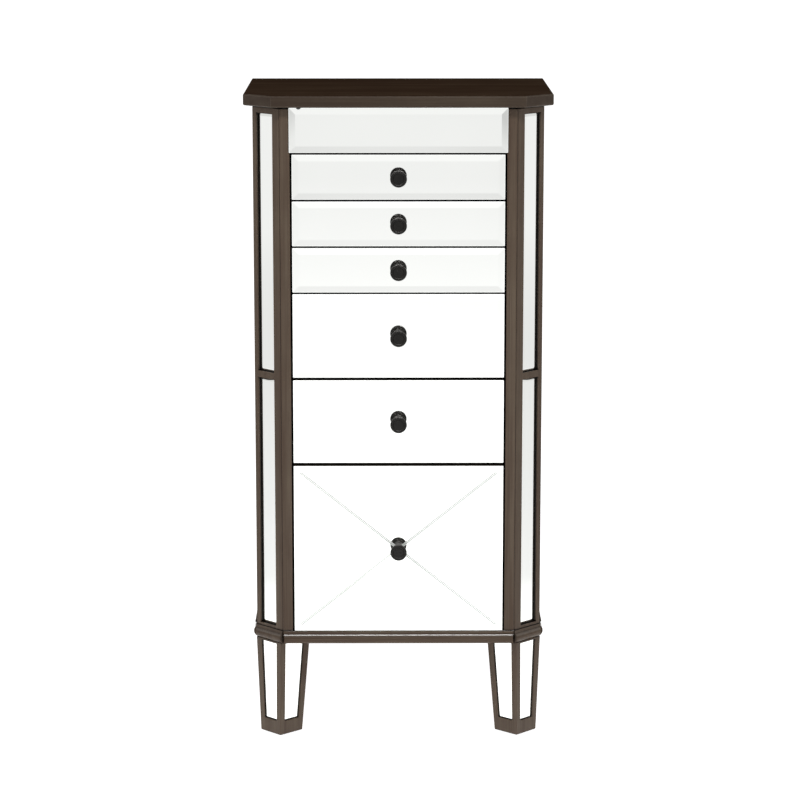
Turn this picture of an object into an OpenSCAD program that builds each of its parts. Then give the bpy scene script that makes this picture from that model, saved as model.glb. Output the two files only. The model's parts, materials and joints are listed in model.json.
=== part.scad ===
// Standing mirrored jewellery chest: flip-top lid, six drawers, canted front corners,
// side cabinets for necklaces, tapered legs.
// +Z is up, the drawers face -Y, and the origin is on the floor under the middle of the object.

/* [Carcass] */
// Width across the side faces
body_w = 443; // [420:1:480]
// Depth from the front frame to the back
body_d = 316; // [300:1:360]
// How far each front corner is cut back, along X and along Y
canted = 42; // [38:1:44]
// Height of the underside of the base moulding
base_z = 153; // [140:1:180]
// Clear width between the two front stiles
opening_w = 328.2; // [320:0.2:330]
// Thickness of the frame timber on the canted corners and the sides
frame_t = 12; // [11:0.5:13]
// Thickness of the drawer fronts, the front stiles and the apron
front_t = 15; // [14:0.5:16]
// Thickness of the two walls beside the drawers
wall_t = 9; // [8:0.5:10]
// Thickness of the back panel
back_t = 6; // [5:0.5:8]

/* [Base moulding] */
// Height of the rounded part of the moulding
bull_h = 17; // [15:0.5:18]
// How far the rounded part stands proud
bull_out = 5.4; // [4:0.1:6]
// Height of the small bead on top of it
bead_h = 3.6; // [3:0.1:4]
// How far the bead stands proud
bead_out = 2; // [1.5:0.1:2.5]
// Height of the hollow cove over the moulding on each side
cove_h = 26; // [20:1:28]
// How far the foot of the cove stands proud
cove_out = 4; // [3:0.1:4.5]

/* [Lid] */
// Thickness of the lid
lid_t = 17.6; // [16:0.2:20]
// Overhang of the lid at the front and the sides
lid_over = 13.5; // [12:0.5:14]
// Gap between the carcass and the lid, set by the bumpers
lid_gap = 3; // [2.6:0.1:3.4]
// Softened edge of the lid
lid_ease = 1.6; // [1:0.1:2]

/* [Drawers] */
// Heights of the six drawer fronts from the top down
front_h = [68, 68, 68, 129, 129, 261.5];
// Gap over each drawer front from the top down
front_gap = [2.9, 2.9, 2.9, 2.7, 4.3, 5.1];
// Width of a drawer front
front_w = 322; // [318:0.5:323]
// Depth of a drawer box behind its front
box_d = 270; // [240:1:275]
// Heights of the six drawer boxes
box_h = [56, 56, 56, 114, 114, 222];
// Thickness of the drawer sides
box_t = 9; // [8:0.5:10]

/* [Mirrors] */
// Thickness of the mirror glass
glass_t = 3; // [2.6:0.1:3.4]
// Width of the bevel round a drawer mirror
bevel_w = 9.8; // [8:0.1:12]
// Height of the apron mirror under the lid
apron_h = 67.6; // [66:0.1:68]
// Width of the V-cuts in the largest mirror
cut_w = 4.4; // [3:0.1:5]

/* [Knobs] */
// Diameter of a knob
knob_dia = 25.4; // [22:0.2:28]
// How far a knob stands out from its mirror
knob_out = 26; // [22:0.5:28]

/* [Legs] */
// Width of a front leg at the top, along the canted face
leg_top_u = 56; // [52:0.5:57]
// Width of a front leg at the top, square to the canted face
leg_top_v = 59.5; // [54:0.5:62]
// Width of every foot
foot_w = 45; // [40:0.5:48]
// Thickness of the glides under the feet
glide_t = 2; // [1.5:0.1:3]

/* [Hidden] */
$fn = 48;

timber = [0.26, 0.22, 0.19];
silvered = [0.86, 0.88, 0.87];
bronze = [0.16, 0.15, 0.14];
brass = [0.55, 0.45, 0.28];
felt = [0.62, 0.56, 0.47];
rubber = [0.08, 0.08, 0.08];

// Levels
sill_z = base_z + bull_h + bead_h;
sill_gap = 0.9;
fronts_z0 = sill_z + sill_gap;
function stack(n) = n > 5 ? 0 : front_h[n] + front_gap[n] + stack(n + 1);
function front_z(n) = fronts_z0 + stack(n + 1);
apron_z = fronts_z0 + stack(0);
frame_top = apron_z + apron_h - 2;
lid_z = frame_top + lid_gap;
pin_z = lid_z - 0.2;

// Plan
half_w = body_w / 2;
open_x = opening_w / 2;
front_x = half_w - canted;
wall_x = open_x + 2;
cant_len = canted * sqrt(2);
slope = tan(22.5);
return_y = canted + 8;
post_d = 22;
inner_back = body_d - back_t;
big = 900;
slit = 0.02;

// Hinges
barrel_r = 3.5;
lid_pin_y = body_d + 4;
lid_pin_r = 1.6;
leaf_t = 1.5;
door_barrel_r = 2.6;
door_pin_r = 1.2;
door_leaf_t = 1;
bore_gap = 0.15;
door_pin_x = half_w + door_barrel_r + 0.1;
door_pin_y = body_d - post_d - 1.2;

// The whole object is centred over the origin: knobs in front, hinge barrels behind
reach_front = glass_t + knob_out;
reach_back = lid_pin_y - body_d + barrel_r;
front_y = (reach_front - body_d - reach_back) / 2;

// Side cabinets and their doors
door_t = 14;
door_gap = 2;
door_y0 = return_y + door_gap;
door_y1 = body_d - post_d - 2.4;
door_z0 = sill_z + cove_h + door_gap;
cap_t = 12;
door_z1 = frame_top - cap_t - door_gap;
door_stile = 30;
door_rail = 34;
door_rebate = 3;
door_x = half_w - door_t;

// Canted corner frames
outer_stile = 7.7;
inner_stile = 15.6;
recess = 4.2;
corner_glass_t = 3;
corner_bevel = 4.5;
glass_gap = 0.8;
stile_round = 4.5;
corner_top_rail = 8;
corner_mid_z = front_z(3) - 0.6;
corner_mid_rail = 10;
corner_low_rail = 4;
seam = 0.7;

// Legs
leg_proud = 0.6;
leg_u0 = 4.7;
foot_u0 = 7.2;
leg_strip = 10.7;
foot_strip = 9.6;
leg_inset = 3;
leg_turn = 3;
leg_glass_t = 1.4;
leg_low = 24;
leg_high = base_z - 3;
rear_leg = 56;
rear_foot = 44;

// Interior
runner_t = 5.8;
runner_lift = 2.2;
box_lift = 8.3;
guide_h = 18;
tray_z = apron_z + 1.5;
tray_t = 5;
tray_top = tray_z + tray_t;
divider_t = 4;
divider_h = 42;
roll_r = 8;
roll_count = 7;
peg_count = 6;

// Moves from the front plane to the object's own frame
module place() translate([0, front_y, 0]) children();

// Repeats a part on the other side
module both() { children(); mirror([1, 0, 0]) children(); }

// Right-hand or left-hand copy
module side(s) { if (s > 0) children(); else mirror([1, 0, 0]) children(); }

// Local frame of the right canted face: x along it, y inward, z up
module on_cant() translate([front_x, 0, 0]) rotate([0, 0, 45]) children();

// Upright prism over a plan outline
module prism(points, z0, z1) translate([0, 0, z0]) linear_extrude(z1 - z0) polygon(points);

module block(x0, x1, y0, y1, z0, z1)
  translate([x0, y0, z0]) cube([x1 - x0, y1 - y0, z1 - z0]);

// Plate in the XZ plane with its back at y = 0, bevelled all round on the -Y side
module bevel_plate(w, h, t, bevel, edge) {
  over = 1;
  drop = t - edge;
  difference() {
    block(-w / 2, w / 2, -t, 0, 0, h);
    for (s = [-1, 1]) {
      translate([s * w / 2, 0, -over]) linear_extrude(h + 2 * over)
        polygon([[0, -edge], [-s * bevel, -edge - drop], [-s * bevel, -t - over],
                 [s * over, -t - over], [s * over, -edge + drop * over / bevel]]);
      translate([-w / 2 - over, 0, s > 0 ? h : 0]) rotate([90, 0, 90]) linear_extrude(w + 2 * over)
        polygon([[-edge, 0], [-edge - drop, -s * bevel], [-t - over, -s * bevel],
                 [-t - over, s * over], [-edge + drop * over / bevel, s * over]]);
    }
  }
}

// ---- carcass ----

module side_wall(s) color(timber) place() side(s)
  block(wall_x, wall_x + wall_t, front_t, inner_back, sill_z, frame_top);

module back_panel() color(timber) place()
  block(-half_w + frame_t, half_w - frame_t, inner_back, body_d, sill_z, frame_top);

module bottom_board() color(timber) place() {
  inset = 14;
  x0 = half_w - inset;
  prism([[front_x - inset * slope, inset], [x0, canted + inset * slope], [x0, body_d],
         [-x0, body_d], [-x0, canted + inset * slope], [-front_x + inset * slope, inset]],
        base_z, sill_z);
}

module tray_floor() color(felt) place()
  block(-wall_x, wall_x, front_t, inner_back, tray_z, tray_top);

module front_stile(s) color(timber) place() side(s)
  prism([[open_x, 0], [front_x - seam, 0], [front_x - seam * slope, seam],
         [front_x - front_t * slope, front_t], [open_x, front_t]], sill_z, frame_top);

// Two stiles, three rails and a backing board set at 45 degrees
module corner_frame(s) color(timber) place() side(s) {
  u1 = cant_len - outer_stile;
  on_cant() {
    // The front edge of the inner stile is rounded over, with a seam beside it
    r = stile_round;
    uc = seam + r * (sqrt(0.5) + (1 - sqrt(0.5)) * slope);
    prism(concat([[inner_stile, 0], [inner_stile, frame_t], [frame_t * slope, frame_t]],
                 [for (a = [-135 : 9 : -90]) [uc + r * cos(a), r + r * sin(a)]]), sill_z, frame_top);
    ua = inner_stile + slit;
    ub = u1 - slit;
    v = recess + corner_glass_t;
    block(ua, ub, v, frame_t, sill_z, frame_top);
    for (z = [[frame_top - corner_top_rail, frame_top],
              [corner_mid_z - corner_mid_rail / 2, corner_mid_z + corner_mid_rail / 2],
              [sill_z, sill_z + corner_low_rail]])
      block(ua, ub, 0, v - slit, z[0], z[1]);
  }
  c = sqrt(0.5);
  a = [front_x + u1 * c, u1 * c];
  prism([a, [half_w, canted], [half_w, return_y], [half_w - frame_t, return_y],
         a + [-frame_t * c, frame_t * c]], sill_z, frame_top);
}

module corner_mirrors() color(silvered) place() both() on_cant() {
  w = cant_len - outer_stile - inner_stile - 2 * glass_gap;
  low = sill_z + corner_low_rail;
  mid0 = corner_mid_z - corner_mid_rail / 2;
  mid1 = corner_mid_z + corner_mid_rail / 2;
  for (z = [[low, mid0], [mid1, frame_top - corner_top_rail]])
    translate([inner_stile + glass_gap + w / 2, recess + corner_glass_t - slit, z[0] + glass_gap])
      bevel_plate(w, z[1] - z[0] - 2 * glass_gap, corner_glass_t - slit, corner_bevel,
                  corner_glass_t - 0.9);
}

module apron_board() color(timber) place()
  block(-open_x, open_x, 0, front_t, apron_z, frame_top);

module apron_mirror() color(silvered) place() translate([0, 0, apron_z])
  bevel_plate(opening_w + 1.8, apron_h, glass_t, bevel_w, glass_t - 1.4);

// ---- base ----

// Cross-section: outward is -x, up is y
module moulding_section() {
  r = (bull_h * bull_h / 4 + bull_out * bull_out) / (2 * bull_out);
  depth = 14;
  translate([0, 0]) square([depth, bull_h + bead_h]);
  intersection() {
    translate([r - bull_out, bull_h / 2]) circle(r, $fn = 96);
    translate([-bull_out - 1, 0]) square([bull_out + 1.01, bull_h]);
  }
  round_r = 1;
  difference() {
    translate([-bead_out, bull_h - 1]) square([bead_out + 1, bead_h + 1]);
    translate([-bead_out, bull_h + bead_h]) difference() {
      translate([-1, -round_r]) square([1 + round_r, 1 + round_r]);
      translate([round_r, -round_r]) circle(round_r, $fn = 32);
    }
  }
}

// One straight length between two plan points, mitred at both ends by half of each turn
module moulding_run(p, q, turn_p, turn_q) {
  len = norm(q - p);
  ang = atan2(q[1] - p[1], q[0] - p[0]);
  over = 20;
  translate([p[0], p[1], base_z]) rotate([0, 0, ang]) difference() {
    translate([-over, 0, 0]) rotate([90, 0, 90])
      linear_extrude(len + 2 * over) moulding_section();
    rotate([0, 0, turn_p]) translate([slit - big, -big / 2, -1]) cube([big, big, 40]);
    translate([len, 0, 0]) rotate([0, 0, -turn_q]) translate([-slit, -big / 2, -1])
      cube([big, big, 40]);
  }
}

module base_moulding() color(timber) place() {
  a = [front_x, 0];
  b = [half_w, canted];
  moulding_run([-front_x, 0], a, 22.5, 22.5);
  both() {
    moulding_run(a, b, 22.5, 22.5);
    moulding_run(b, [half_w, body_d], 22.5, 0);
  }
}

// ---- legs ----

// Corner of the front leg in the frame of the canted face; i and j are 0 or 1
function leg_u(i, z) = let (k = (z - glide_t) / (base_z - glide_t))
  foot_u0 + (leg_u0 - foot_u0) * k + i * (foot_w + (leg_top_u - foot_w) * k);
function leg_v(j, z) = let (k = (z - glide_t) / (base_z - glide_t))
  -leg_proud + j * (foot_w + (leg_top_v - foot_w) * k);

// Solid between a lower and an upper outline of four corners each
module frustum(low, high) polyhedron(points = concat(low, high),
  faces = [[0, 1, 2, 3], [7, 6, 5, 4], [0, 4, 5, 1], [1, 5, 6, 2], [2, 6, 7, 3], [3, 7, 4, 0]]);

// The inward face of the leg is turned a little to the front: its line at depth v
function leg_inner(v, z) = leg_u(0, z) - v * tan(leg_turn);

// Panel let into the canted face of the leg, from depth d0 to depth d1, with a gap all round
module panel_u(d0, d1, gap = 0) {
  function row(z, strip) = [
    [leg_u(0, z) + strip, leg_v(0, z) + d0, z], [leg_u(1, z) - strip, leg_v(0, z) + d0, z],
    [leg_u(1, z) - strip, leg_v(0, z) + d1, z], [leg_u(0, z) + strip, leg_v(0, z) + d1, z]];
  frustum(row(leg_low + gap, foot_strip + gap), row(leg_high - gap, leg_strip + gap));
}

// Panel let into the face beside it, which looks to the front and inward
module panel_v(d0, d1, gap = 0) {
  function row(z, strip) = let (va = leg_v(0, z) + strip, vb = leg_v(1, z) - strip) [
    [leg_inner(va, z) + d0, va, z], [leg_inner(va, z) + d1, va, z],
    [leg_inner(vb, z) + d1, vb, z], [leg_inner(vb, z) + d0, vb, z]];
  frustum(row(leg_low + gap, foot_strip + gap), row(leg_high - gap, leg_strip + gap));
}

function leg_ring(z) = let (va = leg_v(0, z), vb = leg_v(1, z))
  [[leg_inner(va, z), va, z], [leg_u(1, z), va, z], [leg_u(1, z), vb, z], [leg_inner(vb, z), vb, z]];

module front_legs() color(timber) place() both() on_cant() difference() {
  frustum(leg_ring(glide_t), leg_ring(base_z));
  panel_u(-2, leg_inset + leg_glass_t);
  panel_v(-2, leg_inset + leg_glass_t);
}

module leg_mirrors() color(silvered) place() both() on_cant() {
  panel_u(leg_inset, leg_inset + leg_glass_t - slit, glass_gap);
  panel_v(leg_inset, leg_inset + leg_glass_t - slit, glass_gap);
}

function rear_ring(w, out, z) = [[half_w - out - w, body_d - w, z], [half_w - out, body_d - w, z],
                                 [half_w - out, body_d, z], [half_w - out - w, body_d, z]];

module rear_legs() color(timber) place() both()
  frustum(rear_ring(rear_foot, 3, glide_t), rear_ring(rear_leg, 0, base_z));

module leg_glides() color(rubber) place() both() {
  on_cant() translate([foot_u0 + foot_w / 2, foot_w / 2 - leg_proud, 0]) cylinder(h = glide_t, r = 13);
  translate([half_w - 3 - rear_foot / 2, body_d - rear_foot / 2, 0]) cylinder(h = glide_t, r = 13);
}

// ---- sides ----

// X just behind the back of the canted frame at depth y
function cant_back(y) = front_x - frame_t * sqrt(2) + y - 0.1;

module side_frame(s) color(timber) place() side(s) {
  x0 = half_w - frame_t;
  // Rear post
  block(x0, half_w, body_d - post_d, body_d, sill_z, frame_top);
  // Top rail and the cap over the necklace space
  block(x0, half_w, return_y, body_d - post_d - slit, frame_top - cap_t, frame_top);
  y_turn = return_y - 5;
  prism([[wall_x + wall_t, front_t], [cant_back(front_t), front_t], [cant_back(y_turn), y_turn],
         [x0 - slit, return_y], [x0 - slit, inner_back], [wall_x + wall_t, inner_back]],
        frame_top - cap_t, frame_top);
  // Bottom rail, hollowed to a cove that meets the moulding
  r = (cove_h * cove_h + cove_out * cove_out) / (2 * cove_out);
  translate([0, return_y, sill_z]) mirror([0, 1, 0]) rotate([90, 0, 0])
    linear_extrude(body_d - post_d - return_y - slit) difference() {
      translate([x0, 0]) square([frame_t + cove_out, cove_h]);
      translate([half_w + r, cove_h]) circle(r, $fn = 180);
      translate([half_w + cove_out - 0.4, -1]) square([2, cove_h + 2]);
    }
}

// ---- inside ----

module drawer_runners() color(timber) place() both() for (n = [0 : 5]) {
  z = front_z(n) + runner_lift;
  x0 = wall_x - 16;
  guide_x = wall_x - 7.4;
  block(x0, wall_x, front_t + 1, inner_back - 2, z, z + runner_t);
  block(guide_x, wall_x, front_t + 1, inner_back - 2, z + runner_t + slit, z + runner_t + guide_h);
}

module tray_dividers() color(felt) place() {
  x = -4;
  z1 = tray_top + divider_h;
  y0 = front_t;
  y1 = inner_back;
  block(x, x + divider_t, y0, y1, tray_top, z1);
  for (k = [1, 2]) {
    y = y0 + (y1 - y0) * k / 3;
    block(x + divider_t + slit, wall_x, y, y + divider_t, tray_top, z1);
  }
  block(-wall_x, x - slit, y0 + 150, y0 + 150 + divider_t, tray_top, z1);
}

module ring_rolls() color(felt) place() {
  x0 = -wall_x + 3;
  len = wall_x - 4 - 6;
  pitch = 2 * roll_r + 4.4;
  for (k = [0 : roll_count - 1])
    translate([x0, front_t + 3 + roll_r + k * pitch, tray_top + roll_r])
      rotate([0, 90, 0]) cylinder(h = len, r = roll_r, $fn = 32);
}

module magnet_catches() color(bronze) place() both() {
  block(door_x - 9, door_x - 1.2, door_y0 + 2, door_y0 + 22, door_z1 - 12, frame_top - cap_t);
}

// ---- lid ----

function lid_plan(d) = let (x = half_w + lid_over - d, f = front_x + lid_over * (1 - slope) - d * slope + 4,
                            y = -lid_over + d)
  [[-f, y], [f, y], [x, y + x - f], [x, body_d - d], [-x, body_d - d], [-x, y + x - f]];

module lid_panel() color(timber) place() hull() {
  prism(lid_plan(lid_ease), lid_z, lid_z + lid_t);
  prism(lid_plan(0), lid_z + lid_ease, lid_z + lid_t - lid_ease);
}

module lid_mirror() color(silvered) place()
  translate([0, inner_back - 20, lid_z]) rotate([90, 0, 0])
    bevel_plate(2 * wall_x - 40, inner_back - front_t - 40, glass_t - 0.4, 8, 1.2);

// Flat buffers that meet the front stiles, and a domed one under the front edge
module lid_bumpers() color(rubber) place() {
  both() translate([open_x + 7, 8, lid_z - lid_gap + 0.1]) cylinder(h = lid_gap - 0.1, r = 3.6);
  translate([-150, -lid_over + 5, lid_z]) intersection() {
    translate([0, 0, 1.4]) sphere(r = 4.2);
    translate([-6, -6, -4]) cube([12, 12, 4]);
  }
}

// ---- hinges ----

lid_hinge_x = 130;
knuckle = 16;
knuckle_gap = 0.4;

// Fixed leaf: two end knuckles and the pin, along X about the origin; the plate hangs down
module fixed_leaf(r, pin_r, plate_t, plate_w, stand, k) {
  total = 3 * k + 2 * knuckle_gap;
  for (s = [-1, 1]) translate([s * (k + knuckle_gap) - k / 2, 0, 0]) {
    rotate([0, 90, 0]) cylinder(h = k, r = r);
    translate([0, -stand, -plate_w]) cube([k, plate_t, plate_w]);
  }
  translate([-total / 2, 0, 0]) rotate([0, 90, 0]) cylinder(h = total, r = pin_r);
  translate([-total / 2, -stand, -plate_w - 4]) cube([total, plate_t, plate_w - r - 0.6 + 4]);
}

// Moving leaf: the middle knuckle with its bore; the plate stands up
module moving_leaf(r, pin_r, plate_t, plate_w, stand, k) {
  total = 3 * k + 2 * knuckle_gap;
  difference() {
    union() {
      translate([-k / 2, 0, 0]) rotate([0, 90, 0]) cylinder(h = k, r = r);
      translate([-k / 2, -stand, 0]) cube([k, plate_t, plate_w]);
      translate([-total / 2, -stand, r + 0.6]) cube([total, plate_t, plate_w - r - 0.6]);
    }
    translate([-k, 0, 0]) rotate([0, 90, 0]) cylinder(h = 2 * k, r = pin_r + bore_gap);
  }
}

module lid_hinge_at() for (s = [-1, 1])
  translate([s * lid_hinge_x, lid_pin_y, pin_z]) children();

door_knuckle = 14;

module hinge_leaves_fixed() color(brass) place() {
  lid_hinge_at() fixed_leaf(barrel_r, lid_pin_r, leaf_t, 22, lid_pin_y - body_d, knuckle);
  for (s = [-1, 1]) side(s) for (z = [door_z0 + 90, door_z1 - 90])
    translate([door_pin_x, door_pin_y, z]) door_leaf_fixed();
}

// Upright leaves: plates reach inward (-X) from the barrel, one on each side of the gap
module door_leaf_fixed() {
  total = 3 * door_knuckle + 2 * knuckle_gap;
  for (s = [-1, 1]) translate([0, 0, s * (door_knuckle + knuckle_gap) - door_knuckle / 2]) {
    cylinder(h = door_knuckle, r = door_barrel_r);
    translate([-11, 0.2, 0]) cube([11, door_leaf_t, door_knuckle]);
  }
  translate([0, 0, -total / 2]) cylinder(h = total, r = door_pin_r);
  translate([-13.5, 0.2, -total / 2]) cube([13.5 - door_barrel_r - 0.3, door_leaf_t, total]);
}

module door_leaf_moving() {
  total = 3 * door_knuckle + 2 * knuckle_gap;
  difference() {
    union() {
      translate([0, 0, -door_knuckle / 2]) cylinder(h = door_knuckle, r = door_barrel_r);
      translate([-11, -0.2 - door_leaf_t, -door_knuckle / 2]) cube([11, door_leaf_t, door_knuckle]);
      translate([-13.5, -0.2 - door_leaf_t, -total / 2])
        cube([13.5 - door_barrel_r - 0.3, door_leaf_t, total]);
    }
    translate([0, 0, -door_knuckle]) cylinder(h = 2 * door_knuckle, r = door_pin_r + bore_gap);
  }
}

module lid_hinge_leaves() color(brass) place() lid_hinge_at()
  moving_leaf(barrel_r, lid_pin_r, leaf_t, 15, lid_pin_y - body_d, knuckle);

// ---- doors ----

module door_frame(s) color(timber) place() side(s) {
  x1 = half_w;
  back_x = x1 - 2 * door_rebate - glass_t;
  block(door_x, x1, door_y0, door_y0 + door_stile, door_z0, door_z1);
  block(door_x, x1, door_y1 - door_stile, door_y1, door_z0, door_z1);
  for (z = [door_z0, door_z1 - door_rail])
    block(door_x, x1, door_y0 + door_stile + slit, door_y1 - door_stile - slit, z, z + door_rail);
  block(back_x, back_x + door_rebate - slit, door_y0 + door_stile + slit,
        door_y1 - door_stile - slit, door_z0 + door_rail + slit, door_z1 - door_rail - slit);
}

module door_mirror(s) color(silvered) place() side(s) {
  w = door_y1 - door_y0 - 2 * door_stile - 2 * slit;
  h = door_z1 - door_z0 - 2 * door_rail - 2 * slit;
  translate([half_w - door_rebate - glass_t, (door_y0 + door_y1) / 2, door_z0 + door_rail + slit])
    rotate([0, 0, 90]) bevel_plate(w, h, glass_t, bevel_w, glass_t - 1.4);
}

// Turned pegs on a batten, for hanging necklaces
module necklace_pegs(s) color(brass) place() side(s) {
  y0 = door_y0 + 22;
  y1 = door_y1 - 22;
  z0 = door_z1 - door_rail - 4;
  block(door_x - 7, door_x, y0, y1, z0, z0 + 14);
  for (k = [0 : peg_count - 1])
    translate([door_x - 7, y0 + 12 + k * (y1 - y0 - 24) / (peg_count - 1), z0 + 7])
      rotate([0, -90, 0]) {
        cylinder(h = 9, r = 1.7);
        translate([0, 0, 9.8]) sphere(r = 2.8);
      }
}

module door_leaves(s) color(brass) place() side(s) {
  for (z = [door_z0 + 90, door_z1 - 90])
    translate([door_pin_x, door_pin_y, z]) door_leaf_moving();
  // Strike plate for the magnet
  block(door_x - 1, door_x, door_y0 + 4, door_y0 + 20, door_z1 - 11, door_z1 - 3);
}

// ---- drawers ----

screw_r = 2;

module drawer_front(n) color(timber) place() difference() {
  block(-front_w / 2, front_w / 2, 0, front_t, front_z(n), front_z(n) + front_h[n]);
  translate([0, -1, front_z(n) + front_h[n] / 2]) rotate([-90, 0, 0])
    cylinder(h = front_t + 2, r = screw_r + 0.2);
}

module drawer_mirror(n) color(silvered) place() difference() {
  h = front_h[n];
  translate([0, 0, front_z(n)]) bevel_plate(front_w, h, glass_t, bevel_w, glass_t - 1.4);
  translate([0, -glass_t - 1, front_z(n) + h / 2]) rotate([-90, 0, 0])
    cylinder(h = glass_t + 2, r = screw_r + 0.2);
  if (n == 5) {
    dx = front_w - 2 * bevel_w;
    dz = h - 2 * bevel_w;
    depth = 0.9;
    for (s = [-1, 1]) translate([0, -glass_t, front_z(n) + h / 2])
      rotate([0, s * atan2(dz, dx), 0]) rotate([0, 90, 0])
        linear_extrude(norm([dx, dz]), center = true)
          polygon([[-cut_w / 2, -slit], [cut_w / 2, -slit], [0, depth]]);
  }
}

// Turned knob: foot, neck, spreading head with a rolled rim and a low crown; then its screw
module drawer_knob(n) color(bronze) place()
  translate([0, -glass_t, front_z(n) + front_h[n] / 2]) {
    r = knob_dia / 2;
    rim = 2.4;
    rotate([90, 0, 0]) rotate_extrude($fn = 64) {
      square([8, 2]);
      square([4.6, knob_out - 6]);
      translate([4.6, 2]) difference() { square(2); translate([2, 2]) circle(2, $fn = 32); }
      polygon([[0, knob_out - 12], [4.6, knob_out - 12], [r - rim * 0.55, knob_out - 2 * rim],
               [r - rim, knob_out - rim], [0, knob_out - rim]]);
      translate([r - rim, knob_out - rim]) circle(rim, $fn = 32);
      square([r - 2 * rim, knob_out - 0.9]);
    }
    rotate([-90, 0, 0]) cylinder(h = glass_t + front_t, r = screw_r);
    translate([0, glass_t + front_t, 0]) rotate([-90, 0, 0]) cylinder(h = 2.4, r = 4.2);
  }

module drawer_box(n) color(timber) place() {
  x1 = wall_x - 8;
  x0 = x1 - box_t;
  y0 = front_t;
  y1 = front_t + box_d;
  z0 = front_z(n) + box_lift;
  z1 = z0 + box_h[n];
  floor_z = z0 + 3;
  xi = x0 - slit;
  both() block(x0, x1, y0, y1, z0, z1);
  block(-xi, xi, y1 - box_t, y1, z0, z1);
  block(-xi, xi, y0, y1 - box_t - slit, floor_z, floor_z + 4);
}

side_wall(-1);  // side_wall_left
side_wall(1);  // side_wall_right
back_panel();
bottom_board();
tray_floor();
front_stile(-1);  // front_stile_left
front_stile(1);  // front_stile_right
corner_frame(-1);  // corner_frame_left
corner_frame(1);  // corner_frame_right
corner_mirrors();
apron_board();
apron_mirror();
base_moulding();
front_legs();
rear_legs();
leg_mirrors();
drawer_runners();
tray_dividers();
ring_rolls();
hinge_leaves_fixed();
magnet_catches();
leg_glides();
side_frame(-1);  // side_frame_left
side_frame(1);  // side_frame_right
lid_panel();
lid_mirror();
lid_hinge_leaves();
lid_bumpers();
door_frame(-1);  // door_frame_left
door_frame(1);  // door_frame_right
door_mirror(-1);  // door_mirror_left
door_mirror(1);  // door_mirror_right
necklace_pegs(-1);  // necklace_pegs_left
necklace_pegs(1);  // necklace_pegs_right
door_leaves(-1);  // door_leaves_left
door_leaves(1);  // door_leaves_right
drawer_front(0);  // drawer_1_front
drawer_mirror(0);  // drawer_1_mirror
drawer_knob(0);  // drawer_1_knob
drawer_box(0);  // drawer_1_box
drawer_front(1);  // drawer_2_front
drawer_mirror(1);  // drawer_2_mirror
drawer_knob(1);  // drawer_2_knob
drawer_box(1);  // drawer_2_box
drawer_front(2);  // drawer_3_front
drawer_mirror(2);  // drawer_3_mirror
drawer_knob(2);  // drawer_3_knob
drawer_box(2);  // drawer_3_box
drawer_front(3);  // drawer_4_front
drawer_mirror(3);  // drawer_4_mirror
drawer_knob(3);  // drawer_4_knob
drawer_box(3);  // drawer_4_box
drawer_front(4);  // drawer_5_front
drawer_mirror(4);  // drawer_5_mirror
drawer_knob(4);  // drawer_5_knob
drawer_box(4);  // drawer_5_box
drawer_front(5);  // drawer_6_front
drawer_mirror(5);  // drawer_6_mirror
drawer_knob(5);  // drawer_6_knob
drawer_box(5);  // drawer_6_box
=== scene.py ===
import json
import math

import bpy
import numpy as np
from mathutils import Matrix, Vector


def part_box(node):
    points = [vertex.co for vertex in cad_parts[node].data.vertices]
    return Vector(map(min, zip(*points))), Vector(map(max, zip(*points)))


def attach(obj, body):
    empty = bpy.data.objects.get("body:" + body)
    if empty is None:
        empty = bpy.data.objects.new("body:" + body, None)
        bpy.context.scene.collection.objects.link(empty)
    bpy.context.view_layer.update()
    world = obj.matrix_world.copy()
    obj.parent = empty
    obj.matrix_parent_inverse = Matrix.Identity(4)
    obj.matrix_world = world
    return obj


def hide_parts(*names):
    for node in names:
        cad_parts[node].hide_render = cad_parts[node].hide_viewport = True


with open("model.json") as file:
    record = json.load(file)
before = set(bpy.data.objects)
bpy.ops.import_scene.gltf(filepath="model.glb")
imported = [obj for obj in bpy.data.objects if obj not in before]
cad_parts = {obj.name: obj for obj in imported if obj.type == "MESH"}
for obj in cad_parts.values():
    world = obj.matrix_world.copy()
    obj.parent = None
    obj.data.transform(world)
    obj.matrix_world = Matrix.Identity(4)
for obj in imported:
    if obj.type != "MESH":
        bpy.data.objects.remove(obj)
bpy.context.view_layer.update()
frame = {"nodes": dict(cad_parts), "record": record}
nodes = frame["nodes"]
scene = bpy.context.scene
mm = 0.001
drawers = range(1, 7)
print("frame loaded:", len(nodes), "nodes")


# shader building

def newMaterial(name):
    material = bpy.data.materials.new(name)
    material.use_nodes = True
    tree = material.node_tree
    shader = next(n for n in tree.nodes if n.type == "BSDF_PRINCIPLED")
    return material, tree, shader


def addNode(tree, kind, inputs=None, **settings):
    node = tree.nodes.new(kind)
    for key, value in settings.items():
        setattr(node, key, value)
    for key, value in (inputs or {}).items():
        node.inputs[key].default_value = value
    return node


def streaks(tree, perMetre, detail=4.0, distortion=0.0):
    # noise drawn out along an axis: perMetre is how often it changes along x, y and z
    place = addNode(tree, "ShaderNodeTexCoord")
    mapping = addNode(tree, "ShaderNodeMapping", {"Scale": perMetre})
    noise = addNode(tree, "ShaderNodeTexNoise",
                    {"Scale": 1.0, "Detail": detail, "Distortion": distortion})
    tree.links.new(place.outputs["Object"], mapping.inputs["Vector"])
    tree.links.new(mapping.outputs["Vector"], noise.inputs["Vector"])
    return noise.outputs[0]


def remap(tree, source, low, high, toLow, toHigh):
    node = addNode(tree, "ShaderNodeMapRange",
                   {"From Min": low, "From Max": high, "To Min": toLow, "To Max": toHigh})
    tree.links.new(source, node.inputs["Value"])
    return node.outputs[0]


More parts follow.
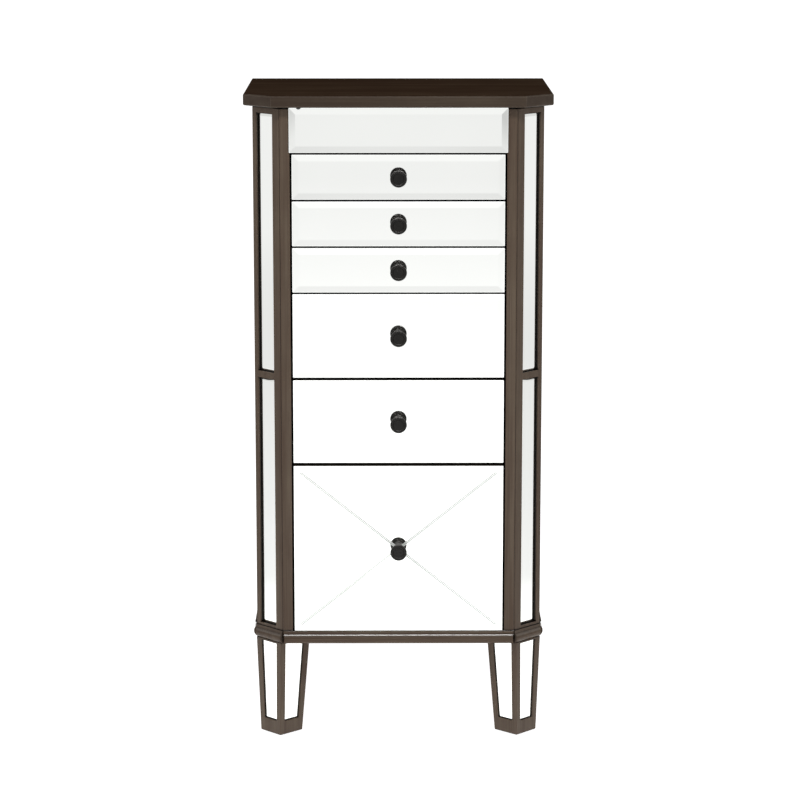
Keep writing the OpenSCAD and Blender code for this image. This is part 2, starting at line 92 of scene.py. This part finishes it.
def blendColour(tree, factor, first, second):
    node = addNode(tree, "ShaderNodeMix", data_type="RGBA")
    tree.links.new(factor, node.inputs[0])
    for slot, colour in ((6, first), (7, second)):
        if isinstance(colour, tuple):
            node.inputs[slot].default_value = (*colour, 1)
        else:
            tree.links.new(colour, node.inputs[slot])
    return node.outputs[2]


def combine(tree, operation, first, second):
    node = addNode(tree, "ShaderNodeMath", operation=operation)
    for slot, value in ((0, first), (1, second)):
        if isinstance(value, (int, float)):
            node.inputs[slot].default_value = value
        else:
            tree.links.new(value, node.inputs[slot])
    return node.outputs[0]


def roughen(tree, shader, height, strength, distance):
    bump = addNode(tree, "ShaderNodeBump", {"Strength": strength, "Distance": distance})
    tree.links.new(height, bump.inputs["Height"])
    tree.links.new(bump.outputs["Normal"], shader.inputs["Normal"])


def nearEdge(tree, radius, low=0.99, high=0.78):
    # 0 on an open face, 1 where it turns over an edge within the radius
    bevel = addNode(tree, "ShaderNodeBevel", {"Radius": radius}, samples=6)
    geometry = addNode(tree, "ShaderNodeNewGeometry")
    agree = addNode(tree, "ShaderNodeVectorMath", operation="DOT_PRODUCT")
    tree.links.new(bevel.outputs["Normal"], agree.inputs[0])
    tree.links.new(geometry.outputs["True Normal"], agree.inputs[1])
    return remap(tree, agree.outputs["Value"], low, high, 0.0, 1.0)


# finishes

# satin, gloss and the strength of the edge line are ranges: roughness, height of the glossy band, and how
# strong the line along the edges is; that line is paint wear, and on the lid a painted highlight
# the near black is a painted shade laid into corners, rebates and gaps
paint = {"deep": (0.047, 0.029, 0.019), "pale": (0.084, 0.062, 0.043), "edge": (0.066, 0.038, 0.024),
         "rubAndHighlight": (0.20, 0.165, 0.135), "paintedShade": (0.002, 0.0015, 0.001), "tone": 1.0, "specular": 0.2,
         "satin": (0.36, 0.52), "gloss": (-0.3, 0.15), "dull": 0.12, "top": None, "crease": 5.0 * mm,
         "edgeBand": 3.2 * mm, "edging": 0.65, "edgeLineWidth": 0.6 * mm, "edgeLineStrength": (0.15, 0.7),
         "bands": (3.0, 70.0), "lines": (9.0, 900.0), "clouds": 16.0, "share": 0.55,
         "brush": 0.25, "brushDepth": 0.15 * mm}
# on the lid, the strong wide line along the edges is a painted highlight
lidPaint = {"tone": 0.55, "specular": 0.15, "edgeLineStrength": (0.9, 1.0), "edgeLineWidth": 2.0 * mm,
            # a painted shade darkens the lid's level faces
            "rubAndHighlight": (0.309, 0.264, 0.218), "edging": 0.0, "top": (0.78, 0.68, 0.62)}
mouldingPaint = {"tone": 0.9, "specular": 1.0, "satin": (0.12, 0.2), "edgeLineStrength": (0.0, 0.0),
                 # a painted shade makes the moulding's level faces much darker
                 "edging": 0.0, "crease": 9.0 * mm, "top": (0.12, 0.10, 0.08), "gloss": (0.25, 0.45)}


def inCreases(tree, reach):
    # a mask for painted shade: 0 in the open, 1 in corners, rebates and gaps that are narrower than the
    # reach
    shade = addNode(tree, "ShaderNodeAmbientOcclusion", {"Distance": reach}, samples=8)
    return remap(tree, shade.outputs["AO"], 0.90, 0.60, 0.0, 1.0)


def facing(tree, low, high, toLow, toHigh):
    # by how far the surface faces up: 1 is level, 0 upright, -1 underneath
    split = addNode(tree, "ShaderNodeSeparateXYZ")
    geometry = addNode(tree, "ShaderNodeNewGeometry")
    tree.links.new(geometry.outputs["Normal"], split.inputs[0])
    return remap(tree, split.outputs["Z"], low, high, toLow, toHigh)


def makePaint(name, along, changes=None):
    # brushed paint over wood: wide soft bands and fine brush lines run along one axis
    look = {**paint, **(changes or {})}
    toned = {key: tuple(c * look["tone"] for c in look[key]) for key in ("deep", "pale", "edge", "rubAndHighlight")}
    material, tree, shader = newMaterial(name)
    bands, lines = (streaks(tree, tuple(look[kind][0] if a == along else look[kind][1] for a in "xyz"),
                            detail, distortion)
                    for kind, detail, distortion in (("bands", 3.0, 0.3), ("lines", 5.0, 0.1)))
    cloud = streaks(tree, (look["clouds"],) * 3, 2.0)
    mixed = combine(tree, "ADD", combine(tree, "MULTIPLY", bands, look["share"]),
                    combine(tree, "MULTIPLY", lines, 1 - look["share"]))
    body = blendColour(tree, remap(tree, mixed, 0.36, 0.64, 0.0, 1.0), toned["deep"], toned["pale"])
    clouded = blendColour(tree, remap(tree, cloud, 0.35, 0.65, 0.0, 0.35), body, toned["deep"])
    banded = blendColour(tree, combine(tree, "MULTIPLY", nearEdge(tree, look["edgeBand"]), look["edging"]),
                         clouded, toned["edge"])
    # a line along the edges: paint wear, and on the lid, where it is strong and wide, a painted highlight
    edgeLine = combine(tree, "MULTIPLY", nearEdge(tree, look["edgeLineWidth"]),
                   remap(tree, cloud, 0.45, 0.6, *look["edgeLineStrength"]))
    wornAndHighlighted = blendColour(tree, edgeLine, banded, toned["rubAndHighlight"])
    # painted shade: corners, rebates and gaps are darkened towards near black
    shadedInCreases = blendColour(tree, inCreases(tree, look["crease"]), wornAndHighlighted, look["paintedShade"])
    tree.links.new(shadedInCreases, shader.inputs["Base Color"])
    low, high = look["satin"]
    tree.links.new(remap(tree, mixed, 0.35, 0.65, high, low), shader.inputs["Roughness"])
    shader.inputs["Specular IOR Level"].default_value = look["specular"]
    roughen(tree, shader, lines, look["brush"], look["brushDepth"])
    if look["top"]:  # painted shade makes level faces darker; they are also matt, and so is what faces below the glossy band
        tint = addNode(tree, "ShaderNodeMix", data_type="RGBA", blend_type="MULTIPLY")
        tree.links.new(facing(tree, 0.80, 0.90, 0.0, 1.0), tint.inputs[0])
        tree.links.new(shadedInCreases, tint.inputs[6])
        tint.inputs[7].default_value = (*look["top"], 1)
        tree.links.new(tint.outputs[2], shader.inputs["Base Color"])
        tree.links.new(combine(tree, "MULTIPLY",
                               facing(tree, *look["gloss"], look["dull"], look["specular"]),
                               facing(tree, 0.78, 0.9, 1.0, 0.0)), shader.inputs["Specular IOR Level"])
    return material


glass = {"silver": (0.96, 0.97, 0.952), "tarnish": (0.925, 0.94, 0.92), "clear": 0.01, "smudge": 0.04,
         "bend": (-0.2, 0.21, 0.21), "ground": (1.0, 1.0, 1.0), "groove": (0.58, 0.60, 0.58),
         "arris": 0.9 * mm, "arrisLean": -0.09, "arrisFacing": (0.5, 0.85),
         "grooveFacing": (0.87, 0.965), "frost": 0.5}


def within(tree, value, low, high):
    return combine(tree, "MULTIPLY", combine(tree, "GREATER_THAN", value, low),
                   combine(tree, "LESS_THAN", value, high))


def chooseVector(tree, factor, first, second):
    node = addNode(tree, "ShaderNodeMix", data_type="VECTOR")
    tree.links.new(factor, node.inputs[0])
    for slot, vector in ((4, first), (5, second)):
        if isinstance(vector, tuple):
            node.inputs[slot].default_value = vector
        else:
            tree.links.new(vector, node.inputs[slot])
    return node.outputs[1]


def makeMirror(name, face=None):
    # silver seen through glass: a bevel turns the reflection the other way, by the glass's refraction
    material, tree, shader = newMaterial(name)
    cloud = streaks(tree, (5.0, 5.0, 5.0), 3.0)
    wipe = streaks(tree, (9.0, 9.0, 60.0), 4.0, 0.6)
    silver = blendColour(tree, remap(tree, cloud, 0.45, 0.8, 0.0, 0.5), glass["silver"], glass["tarnish"])
    ground = nearEdge(tree, glass["arris"], 0.93, 0.8)
    polish = remap(tree, wipe, 0.5, 0.85, glass["clear"], glass["smudge"])
    tree.links.new(combine(tree, "MAXIMUM", polish, combine(tree, "MULTIPLY", ground, glass["frost"])),
                   shader.inputs["Roughness"])
    shader.inputs["Metallic"].default_value = 1.0
    edged = blendColour(tree, ground, silver, glass["ground"])
    if face is None:
        tree.links.new(edged, shader.inputs["Base Color"])
        return material
    place = addNode(tree, "ShaderNodeTexCoord")
    normal = place.outputs["Normal"]
    flat = addNode(tree, "ShaderNodeCombineXYZ", dict(zip("XYZ", face))).outputs[0]
    agree = addNode(tree, "ShaderNodeVectorMath", operation="DOT_PRODUCT")
    tree.links.new(normal, agree.inputs[0])
    tree.links.new(flat, agree.inputs[1])
    # a cut groove is frosted, so it isn't silver
    groove = within(tree, agree.outputs["Value"], *glass["grooveFacing"])
    tree.links.new(blendColour(tree, groove, edged, glass["groove"]), shader.inputs["Base Color"])
    tree.links.new(combine(tree, "SUBTRACT", 1.0, groove), shader.inputs["Metallic"])
    # normal for the reflection: flat + bend * (flat - normal), and leaning down on the ground arris
    tilt = addNode(tree, "ShaderNodeVectorMath", operation="SUBTRACT")
    tree.links.new(flat, tilt.inputs[0])
    tree.links.new(normal, tilt.inputs[1])
    swing = addNode(tree, "ShaderNodeVectorMath", operation="MULTIPLY")
    swing.inputs[1].default_value = glass["bend"]
    tree.links.new(tilt.outputs[0], swing.inputs[0])
    turned = addNode(tree, "ShaderNodeVectorMath", operation="ADD")
    tree.links.new(flat, turned.inputs[0])
    tree.links.new(swing.outputs[0], turned.inputs[1])
    low, high = glass["arrisFacing"]
    front = combine(tree, "GREATER_THAN", agree.outputs["Value"], high)
    leaning = chooseVector(tree, within(tree, agree.outputs["Value"], low, high),
                           chooseVector(tree, front, normal, turned.outputs[0]),
                           (face[0], face[1], glass["arrisLean"]))
    world = addNode(tree, "ShaderNodeVectorTransform", vector_type="NORMAL",
                    convert_from="OBJECT", convert_to="WORLD")
    tree.links.new(leaning, world.inputs[0])
    tree.links.new(world.outputs[0], shader.inputs["Normal"])
    return material


metals = {
    "darkBronze": {"deep": (0.005, 0.0045, 0.004), "pale": (0.009, 0.008, 0.007), "metallic": 0.2,
                   "satin": (0.22, 0.36), "grain": 900.0, "specular": 0.22, "dustAndSheen": (0.045, 0.042, 0.04)},
    "antiqueBrass": {"deep": (0.16, 0.105, 0.05), "pale": (0.38, 0.27, 0.13), "metallic": 1.0,
                     "satin": (0.28, 0.45), "grain": 1200.0, "specular": 0.5, "dustAndSheen": None},
    "catchSteel": {"deep": (0.12, 0.115, 0.11), "pale": (0.24, 0.23, 0.22), "metallic": 1.0,
                   "satin": (0.3, 0.45), "grain": 1200.0, "specular": 0.5, "dustAndSheen": None}}
patina = {"patches": 140.0, "edgeLineWidth": 0.5 * mm, "edgeLineStrength": 0.5, "brighter": 2.2, "strength": 0.2,
          "depth": 0.08 * mm}


def makeMetal(name):
    # cast or turned metal: a patchy patina, brightened by wear along its edges, and, where a colour is
    # given for it, a painted highlight that makes what faces up lighter
    metal = metals[name]
    material, tree, shader = newMaterial(name)
    patches = streaks(tree, (patina["patches"],) * 3, 5.0)
    fine = streaks(tree, (metal["grain"],) * 3, 3.0)
    factor = remap(tree, patches, 0.35, 0.68, 0.0, 1.0)
    body = blendColour(tree, factor, metal["deep"], metal["pale"])
    edgeLine = combine(tree, "MULTIPLY", nearEdge(tree, patina["edgeLineWidth"]), patina["edgeLineStrength"])
    wornAndHighlighted = blendColour(tree, edgeLine, body, tuple(min(1.0, c * patina["brighter"]) for c in metal["pale"]))
    # painted highlight: what faces up is lighter, standing in for the lamp's sheen along the knob's upper
    # rim
    if metal["dustAndSheen"]:
        wornAndHighlighted = blendColour(tree, facing(tree, 0.25, 0.75, 0.0, 1.0), wornAndHighlighted, metal["dustAndSheen"])
    tree.links.new(wornAndHighlighted, shader.inputs["Base Color"])
    low, high = metal["satin"]
    tree.links.new(remap(tree, factor, 0.0, 1.0, high, low), shader.inputs["Roughness"])
    shader.inputs["Metallic"].default_value = metal["metallic"]
    shader.inputs["Specular IOR Level"].default_value = metal["specular"]
    roughen(tree, shader, fine, patina["strength"], patina["depth"])
    return material


nap = {"deep": (0.20, 0.155, 0.115), "pale": (0.33, 0.27, 0.205), "fibre": 2600.0, "crush": 38.0,
       "sheen": 0.5, "specular": 0.15, "strength": 0.7, "depth": 0.4 * mm}


def makeFelt(name):
    # flocked cloth: short fibres, with pile that lies in patches
    material, tree, shader = newMaterial(name)
    fibres = streaks(tree, (nap["fibre"],) * 3, 2.0)
    crushed = streaks(tree, (nap["crush"],) * 3, 3.0, 0.8)
    mixed = combine(tree, "ADD", combine(tree, "MULTIPLY", fibres, 0.5),
                    combine(tree, "MULTIPLY", crushed, 0.5))
    tree.links.new(blendColour(tree, remap(tree, mixed, 0.36, 0.64, 0.0, 1.0), nap["deep"], nap["pale"]),
                   shader.inputs["Base Color"])
    tree.links.new(remap(tree, crushed, 0.3, 0.7, 0.85, 1.0), shader.inputs["Roughness"])
    shader.inputs["Sheen Weight"].default_value = nap["sheen"]
    shader.inputs["Sheen Roughness"].default_value = nap["sheen"]
    shader.inputs["Specular IOR Level"].default_value = nap["specular"]
    roughen(tree, shader, mixed, nap["strength"], nap["depth"])
    return material


gum = {"black": (0.012, 0.012, 0.012), "dusty": (0.03, 0.029, 0.028), "speckles": 700.0, "dustAndSheen": 60.0,
       "strength": 0.3, "depth": 0.1 * mm}


def makeRubber(name):
    material, tree, shader = newMaterial(name)
    speckle = streaks(tree, (gum["speckles"],) * 3, 3.0)
    dustAndSheen = streaks(tree, (gum["dustAndSheen"],) * 3, 3.0)
    tree.links.new(blendColour(tree, remap(tree, dustAndSheen, 0.4, 0.75, 0.0, 0.7), gum["black"], gum["dusty"]),
                   shader.inputs["Base Color"])
    tree.links.new(remap(tree, dustAndSheen, 0.3, 0.7, 0.5, 0.75), shader.inputs["Roughness"])
    roughen(tree, shader, speckle, gum["strength"], gum["depth"])
    return material


paintUp = makePaint("paintAlongZ", "z")
paintAcross = makePaint("paintAlongX", "x")
paintBack = makePaint("paintAlongY", "y")
darkPaint = makePaint("paintLid", "x", lidPaint)
glossPaint = makePaint("paintMoulding", "x", mouldingPaint)
mirrorFront = makeMirror("mirrorFront", (0.0, -1.0, 0.0))
mirrorRight = makeMirror("mirrorRight", (1.0, 0.0, 0.0))
mirrorLeft = makeMirror("mirrorLeft", (-1.0, 0.0, 0.0))
mirrorPlain = makeMirror("mirrorPlain")
bronze, brass, steel = (makeMetal(name) for name in metals)
felt = makeFelt("taupeFelt")
rubber = makeRubber("blackRubber")
print("finishes made")


# finishes and softened edges for the frame's own pieces

easing = {"frame": 0.25 * mm, "lid": 0.3 * mm, "boards": 0.6 * mm, "glass": 0.65 * mm, "legs": 1.2 * mm,
          "feltBoards": 0.8 * mm, "hardware": 0.25 * mm, "weld": 0.004 * mm, "angle": 40, "lidAngle": 30}


def finishNodes(names, material, soften=None, angle=easing["angle"]):
    # a finish, and a bevel of the named easing; glass keeps its facets, everything else is smoothed
    for name in names:
        piece = nodes[name]
        piece.data.materials.clear()
        piece.data.materials.append(material)
        if not soften:
            continue
        weld = piece.modifiers.new("joinCorners", "WELD")
        weld.merge_threshold = easing["weld"]
        bevel = piece.modifiers.new("softEdges", "BEVEL")
        bevel.width = easing[soften]
        bevel.segments = 1 if soften == "glass" else 2
        bevel.limit_method = "ANGLE"
        bevel.angle_limit = math.radians(angle)
        if soften != "glass":
            even = piece.modifiers.new("evenShading", "WEIGHTED_NORMAL")
            even.keep_sharp = False
            even.weight = 100


def pair(*stems):
    return [f"{stem}_{side}" for stem in stems for side in ("left", "right")]


finishNodes(pair("side_wall", "side_frame", "door_frame") + ["back_panel"], paintUp, "boards")
finishNodes(pair("front_stile", "corner_frame"), paintUp, "frame")
finishNodes(["front_legs", "rear_legs"], paintUp, "legs")
finishNodes(["apron_board", "bottom_board"], paintAcross, "boards")
finishNodes(["base_moulding"], glossPaint)
finishNodes(["drawer_runners"], paintBack, "boards")
finishNodes(["lid_panel"], darkPaint, "lid", easing["lidAngle"])
finishNodes(["tray_floor"], felt)
finishNodes(["tray_dividers"], felt, "feltBoards")
finishNodes(["apron_mirror"], mirrorFront, "glass")
finishNodes(["corner_mirrors", "leg_mirrors", "lid_mirror"], mirrorPlain, "glass")
finishNodes(["door_mirror_left"], mirrorLeft, "glass")
finishNodes(["door_mirror_right"], mirrorRight, "glass")
finishNodes(["hinge_leaves_fixed", "lid_hinge_leaves"] + pair("door_leaves", "necklace_pegs"), brass)
finishNodes(["magnet_catches"], steel, "hardware")
finishNodes(["leg_glides", "lid_bumpers"], rubber)
finishNodes([f"drawer_{n}_{part}" for n in drawers for part in ("front", "box")], paintAcross, "boards")
finishNodes([f"drawer_{n}_mirror" for n in drawers], mirrorFront, "glass")
finishNodes([f"drawer_{n}_knob" for n in drawers], bronze)
print("frame pieces finished")


# mesh building

def makePiece(name, points, faces, material, body, sharpAngle=None):
    mesh = bpy.data.meshes.new(name)
    mesh.from_pydata(points, [], faces)
    mesh.validate()
    mesh.polygons.foreach_set("use_smooth", [True] * len(mesh.polygons))
    mesh.update()
    if sharpAngle:
        mesh.set_sharp_from_angle(angle=math.radians(sharpAngle))
    piece = bpy.data.objects.new(name, mesh)
    scene.collection.objects.link(piece)
    mesh.materials.append(material)
    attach(piece, body)
    return piece


def ringFaces(rings, around, start=0):
    # quads between each ring and the next, and one face over each end
    k, j = np.meshgrid(np.arange(rings - 1), np.arange(around), indexing="ij")
    a = start + k * around + j
    b = start + k * around + (j + 1) % around
    quads = np.stack([a, b, b + around, a + around], -1).reshape(-1, 4).tolist()
    first = list(range(start, start + around))
    last = [start + (rings - 1) * around + i for i in range(around)]
    return quads + [first[::-1], last]


def roundedOutline(x0, x1, y0, y1, radius, steps=6):
    # a rectangle with quarter circles at its corners, anticlockwise
    turn = np.linspace(0, math.pi / 2, steps)
    corner = np.stack([np.cos(turn), np.sin(turn)], -1) * radius
    quarters = []
    for cx, cy, k in ((x1 - radius, y1 - radius, 0), (x0 + radius, y1 - radius, 1),
                      (x0 + radius, y0 + radius, 2), (x1 - radius, y0 + radius, 3)):
        c, s = round(math.cos(k * math.pi / 2)), round(math.sin(k * math.pi / 2))
        quarters.append(np.stack([corner[:, 0] * c - corner[:, 1] * s + cx,
                                  corner[:, 0] * s + corner[:, 1] * c + cy], -1))
    return np.concatenate(quarters)


# felt linings of the drawers and the tray

lining = {"thickness": 1.2 * mm, "clear": 0.45 * mm, "corner": 2.5 * mm, "least": 0.4 * mm,
          "fold": 3.0 * mm, "below": 1.0 * mm, "sharp": 50}


def makeLining(name, low, high, body):
    # a tray of cloth, as rounded outlines from under its floor, up the outside, over a rolled
    # upper edge, down the inside and through a quarter round of radius r into its floor
    t, r = lining["thickness"], lining["fold"]
    x0, x1 = low[0] - lining["clear"], high[0] + lining["clear"]
    y0, y1 = low[1] - lining["clear"], high[1] + lining["clear"]
    z0, z1 = low[2] - lining["clear"], high[2] - lining["below"]
    turn = np.linspace(0, math.pi / 2, 5)
    inner = [(t + r - r * math.sin(a), z0 + t + r - r * math.cos(a)) for a in turn]
    roll = np.linspace(0, math.pi, 5)
    rim = [(t / 2 + t / 2 * math.cos(a), z1 - t / 2 + t / 2 * math.sin(a)) for a in roll]
    outer = [(0.0, z0 + t), (t * 0.3, z0 + t * 0.3), (t, z0)]
    rings = []
    for inset, z in reversed(inner + rim + outer):
        flat = roundedOutline(x0 + inset, x1 - inset, y0 + inset, y1 - inset,
                              max(lining["corner"] + t - inset, lining["least"]))
        rings.append(np.column_stack([flat, np.full(len(flat), z)]))
    makePiece(name, np.concatenate(rings).tolist(), ringFaces(len(rings), len(rings[0])), felt, body,
              lining["sharp"])


openings = {o["name"]: o["box_m"] for o in frame["record"]["physics"]["openings"]}
for n in drawers:
    makeLining(f"drawer_{n}_lining", *openings[f"drawer_{n}_inside"], f"drawer_{n}")
for name in ("tray_front_right", "tray_middle_right", "tray_rear_right", "tray_rear_left"):
    makeLining(f"{name}_lining", *openings[name], "carcass")
print("linings made")


wallFelt = {"thickness": 1.4 * mm, "margin": 6.0 * mm, "corner": 4.0 * mm, "round": 0.5 * mm, "sharp": 50}


def makeWallFelt(name, low, high, side):
    # a thin board covered in cloth on the wall behind the door: rounded outlines in y and z
    # that step out from the wall, with a quarter round along the outer edge
    t, r = wallFelt["thickness"], wallFelt["round"]
    m = wallFelt["margin"]
    wall = min(abs(low[0]), abs(high[0]))
    turn = np.linspace(0, math.pi / 2, 4)
    rings = []
    for inset, out in [(0.0, 0.0)] + [(r - r * math.cos(a), t - r + r * math.sin(a)) for a in turn]:
        flat = roundedOutline(low[1] + m + inset, high[1] - m - inset, low[2] + m + inset,
                              high[2] - m - inset, wallFelt["corner"] - inset)
        flat = flat if side > 0 else flat[::-1]
        rings.append(np.column_stack([np.full(len(flat), side * (wall + out)), flat]))
    makePiece(name, np.concatenate(rings).tolist(), ringFaces(len(rings), len(rings[0])), felt,
              "carcass", wallFelt["sharp"])


for word, side in (("right", 1), ("left", -1)):
    name = next(o for o in openings if "necklace" in o and word in o)
    makeWallFelt(f"wall_felt_{word}", *openings[name], side)
print("wall felts made")


# hinge screws

screw = {"radius": 2.3 * mm, "rise": 0.8 * mm, "sunk": 0.2 * mm, "around": 32, "cross": 0.36, "lobes": 0.3,
         "sharp": 35, "hinges": (-130.0 * mm, 130.0 * mm), "plate": 170.25 * mm,
         "fixed": {"across": (-17.0 * mm, 0.0, 17.0 * mm), "height": 970.5 * mm},
         "moving": {"across": (-17.0 * mm, 17.0 * mm), "height": 996.9 * mm}}


def makeScrews(name, kind, body):
    # domed heads with a cross recess; the recess is a star, radius * cross * (1 + lobes * cos 4a)
    a = np.linspace(0, 2 * math.pi, screw["around"], endpoint=False)
    star = screw["cross"] * (1 + screw["lobes"] * np.cos(4 * a))
    circle = np.ones(len(a))
    profile = [(circle, -screw["sunk"] / screw["rise"]), (circle, 0.0), (circle * 0.95, 0.4),
               (circle * 0.78, 0.8), (star, 1.0), (star * 0.8, 0.2), (star * 0.2, 0.1)]
    points, faces = [], []
    for x in screw["hinges"]:
        for across in screw[kind]["across"]:
            faces += ringFaces(len(profile), len(a), len(points) * len(profile) * len(a))
            points.append(np.concatenate([np.column_stack(
                [x + across + f * screw["radius"] * np.cos(a),
                 np.full(len(a), screw["plate"] + h * screw["rise"]),
                 screw[kind]["height"] - f * screw["radius"] * np.sin(a)]) for f, h in profile]))
    makePiece(name, np.concatenate(points).tolist(), faces, brass, body, screw["sharp"])


makeScrews("hinge_screws_fixed", "fixed", "carcass")
makeScrews("hinge_screws_lid", "moving", "lid")
print("hinge screws made")


# ring rolls

ringRoll = {"around": 40, "along": 48, "end": 4.0 * mm, "slot": 4.4 * mm, "pleats": 14,
            "pleat": 0.25 * mm, "sag": 0.175 * mm, "waves": 31.0, "shrink": 0.15 * mm, "rest": 0.05 * mm,
            "crowd": 0.9, "tip": 0.06, "fill": 0.85, "seed": 11}


def makeRingRolls():
    # stuffed tubes along x: near each end the radius is r * (1 - (1 - s)^3)^0.4, where s runs from 0
    # at the tip to 1; gathers round the ends, a slow unevenness along the length, and a flat underside
    low, high = (np.array(c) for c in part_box("ring_rolls"))
    radius = (high[2] - low[2]) / 2
    count = round((high[1] - low[1]) / (2 * radius + ringRoll["slot"]))
    pitch = (high[1] - low[1] - 2 * radius) / (count - 1)
    rng = np.random.default_rng(ringRoll["seed"])
    u = np.linspace(0, 1, ringRoll["along"])
    u = (u + ringRoll["crowd"] * (3 * u ** 2 - 2 * u ** 3)) / (1 + ringRoll["crowd"])
    x = low[0] + (high[0] - low[0]) * u
    edge = np.clip(np.minimum(x - low[0], high[0] - x) / ringRoll["end"], 0, 1)
    swell = np.clip(1 - (1 - edge) ** 3, ringRoll["tip"], 1) ** 0.4
    a = np.linspace(0, 2 * math.pi, ringRoll["around"], endpoint=False)
    for k in range(count):
        phase = rng.uniform(0, 6.28, 4)
        gather = np.exp(-((edge - 0.45) / 0.4) ** 2)[:, None]
        wave = ringRoll["waves"] * u[:, None] + 2 * np.sin(a + phase[1]) + phase[2]
        r = (radius - ringRoll["shrink"]) * swell[:, None] * np.ones(len(a))
        r = r - ringRoll["pleat"] * gather * (0.5 + 0.5 * np.sin(ringRoll["pleats"] * a + phase[0]))
        r = r - ringRoll["sag"] * (0.5 + 0.5 * np.sin(wave))
        y = low[1] + radius + k * pitch + r * np.cos(a)
        z = (low[2] + high[2]) / 2 + r * np.sin(a)
        z = np.maximum(z, low[2] + ringRoll["rest"])
        points = np.stack([np.broadcast_to(x[:, None], y.shape), y, z], -1).reshape(-1, 3)
        piece = makePiece(f"ring_roll_{k + 1}", points.tolist(), ringFaces(len(x), len(a)), felt,
                          "carcass")
        bulge = piece.modifiers.new("smooth", "SUBSURF")
        bulge.levels = 1
        bulge.render_levels = 1
        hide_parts("ring_rolls")


makeRingRolls()
print("ring rolls made")


# studio

# glow of the floor, as fades of (from, to) metres, glow before, glow after; fades of one list add up
studio = {"floorSize": 60.0, "floorColour": (0.80, 0.80, 0.80), "roughness": 0.9, "widen": 0.3,
          "ahead": [((-1.2, -2.6), 0.95, 0.78), ((-4.5, -7.6), 0.0, -0.112), ((-10.0, -14.0), 0.0, -0.09)],
          "waist": [((0.3, 1.1), 0.0, -0.05)],
          "aside": [((0.75, 1.15), 0.95, 0.38), ((1.8, 6.0), 0.0, 0.275)]}


def addFades(tree, source, fades, total=None):
    for span, before, after in fades:
        fade = remap(tree, source, *span, before, after)
        total = combine(tree, "ADD", total, fade) if total else fade
    return total


def makeFloor():
    material, tree, shader = newMaterial("studioFloor")
    shader.inputs["Base Color"].default_value = (*studio["floorColour"], 1)
    shader.inputs["Roughness"].default_value = studio["roughness"]
    shader.inputs["Specular IOR Level"].default_value = 0.0
    place = addNode(tree, "ShaderNodeTexCoord")
    split = addNode(tree, "ShaderNodeSeparateXYZ")
    tree.links.new(place.outputs["Object"], split.inputs[0])
    # the bright lane in front of the piece widens behind it
    behind = combine(tree, "MULTIPLY", combine(tree, "MAXIMUM", split.outputs["Y"], 0.0), studio["widen"])
    out = combine(tree, "SUBTRACT", combine(tree, "ABSOLUTE", split.outputs["X"], 0.0), behind)
    ahead = addFades(tree, out, studio["waist"], addFades(tree, split.outputs["Y"], studio["ahead"]))
    glow = combine(tree, "MINIMUM", ahead, addFades(tree, out, studio["aside"]))
    shader.inputs["Emission Color"].default_value = (1.0, 1.0, 1.0, 1)
    tree.links.new(glow, shader.inputs["Emission Strength"])
    half = studio["floorSize"]
    mesh = bpy.data.meshes.new("floor")
    mesh.from_pydata([(-half, -half, 0), (half, -half, 0), (half, half, 0), (-half, half, 0)], [],
                     [(0, 1, 2, 3)])
    mesh.materials.append(material)
    floor = bpy.data.objects.new("floor", mesh)
    scene.collection.objects.link(floor)


# brightness of the room by the sine of the elevation
sky = [(-1.0, 0.95), (-0.08, 0.90), (0.0, 0.84), (0.08, 0.78), (0.45, 0.62), (0.72, 0.16), (1.0, 0.05)]
skyWarmth = 0.985


def makeSky():
    world = bpy.data.worlds.new("studioRoom")
    scene.world = world
    world.use_nodes = True
    tree = world.node_tree
    back = next(n for n in tree.nodes if n.type == "BACKGROUND")
    place = addNode(tree, "ShaderNodeTexCoord")
    split = addNode(tree, "ShaderNodeSeparateXYZ")
    tree.links.new(place.outputs["Generated"], split.inputs[0])
    height = remap(tree, split.outputs["Z"], -1.0, 1.0, 0.0, 1.0)
    ramp = addNode(tree, "ShaderNodeValToRGB")
    stops = ramp.color_ramp.elements
    while len(stops) < len(sky):
        stops.new(0.5)
    for stop, (rise, light) in zip(stops, sky):
        stop.position = (rise + 1) / 2
        stop.color = (light, light, light * skyWarmth, 1)
    tree.links.new(height, ramp.inputs[0])
    tree.links.new(ramp.outputs[0], back.inputs[0])


lamps = {"left": {"place": (-2.4, -2.2, 1.5), "size": (1.0, 2.0), "power": 12.0},
         "right": {"place": (2.6, -1.9, 1.2), "size": (1.0, 2.0), "power": 8.0},
         "above": {"place": (0.0, -1.5, 2.7), "size": (2.4, 0.3), "power": 50.0}}
lampTarget = Vector((0, 0, 0.55))


def makeLamps():
    for name, lamp in lamps.items():
        data = bpy.data.lights.new(name, "AREA")
        data.shape = "RECTANGLE"
        data.size, data.size_y = lamp["size"]
        data.energy = lamp["power"]
        light = bpy.data.objects.new(name, data)
        scene.collection.objects.link(light)
        light.location = lamp["place"]
        light.rotation_euler = (lampTarget - light.location).to_track_quat("-Z", "Y").to_euler()
        light.visible_camera = False


eye = {"place": (-0.018, -4.3, 1.37), "turn": 0.28, "tilt": 10.65, "lens": 124.5, "sensor": 36.0,
       "shift": -0.04, "farthest": 300.0}


def makeCamera():
    data = bpy.data.cameras.new("camera")
    data.sensor_width = eye["sensor"]
    data.lens = eye["lens"]
    data.shift_y = eye["shift"]
    data.clip_end = eye["farthest"]
    camera = bpy.data.objects.new("camera", data)
    scene.collection.objects.link(camera)
    camera.location = eye["place"]
    camera.rotation_euler = (math.radians(90 - eye["tilt"]), 0, math.radians(-eye["turn"]))
    scene.camera = camera


makeFloor()
makeSky()
makeLamps()
makeCamera()
scene.view_settings.view_transform = "Standard"
print("studio made")
